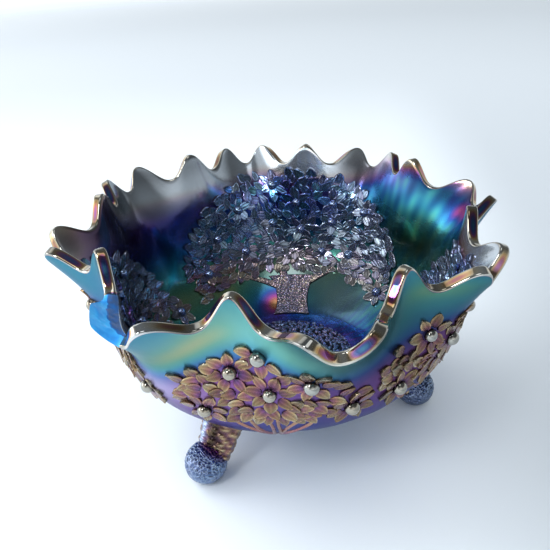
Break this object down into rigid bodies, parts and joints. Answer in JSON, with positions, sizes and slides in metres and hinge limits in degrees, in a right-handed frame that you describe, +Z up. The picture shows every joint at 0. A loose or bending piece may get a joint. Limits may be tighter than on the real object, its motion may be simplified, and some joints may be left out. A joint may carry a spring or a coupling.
{
  "type": "footed glass bowl",
  "caption": "Round ruffled bowl of iridescent dark blue pressed glass on scrolled feet, with leafy trees and berries in relief inside and out.",
  "frame": {"origin": "on the table, under the middle of the bowl's outline", "axes": "+Z up along the bowl's axis, +X towards the right-hand foot, -Y towards the front"},
  "size_m": [0.2536, 0.2612, 0.1473],
  "materials": {
    "coated_glass": "dark blue glass under a mirror-like iridescent coat that shifts from teal and gold to blue and purple",
    "leafy_glass": "the same glass with a bronze, silver and purple sheen on fine relief",
    "berry_glass": "bright silver and gold mirror sheen",
    "foot_glass": "steel blue sheen with fine crackled relief"
  },
  "bodies": {
    "root": {"bowl_wall": "coated_glass", "bowl_base": "coated_glass", "ground_medallion": "leafy_glass", "foot_front_leg": "foot_glass", "foot_front_knob": "foot_glass", "foot_right_leg": "foot_glass", "foot_right_knob": "foot_glass", "foot_rear_leg": "foot_glass", "foot_rear_knob": "foot_glass", "trunk_1": "leafy_glass", "inner_crown_1": "leafy_glass", "inner_berries_1": "berry_glass", "trunk_2": "leafy_glass", "inner_crown_2": "leafy_glass", "inner_berries_2": "berry_glass", "trunk_3": "leafy_glass", "inner_crown_3": "leafy_glass", "inner_berries_3": "berry_glass", "outer_crown_1": "leafy_glass", "outer_branches_1": "leafy_glass", "outer_berries_1": "berry_glass", "outer_crown_2": "leafy_glass", "outer_branches_2": "leafy_glass", "outer_berries_2": "berry_glass", "outer_crown_3": "leafy_glass", "outer_branches_3": "leafy_glass", "outer_berries_3": "berry_glass", "outer_crown_4": "leafy_glass", "outer_branches_4": "leafy_glass", "outer_berries_4": "berry_glass", "outer_crown_5": "leafy_glass", "outer_branches_5": "leafy_glass", "outer_berries_5": "berry_glass", "outer_crown_6": "leafy_glass", "outer_branches_6": "leafy_glass", "outer_berries_6": "berry_glass"}
  },
  "joints": []
}
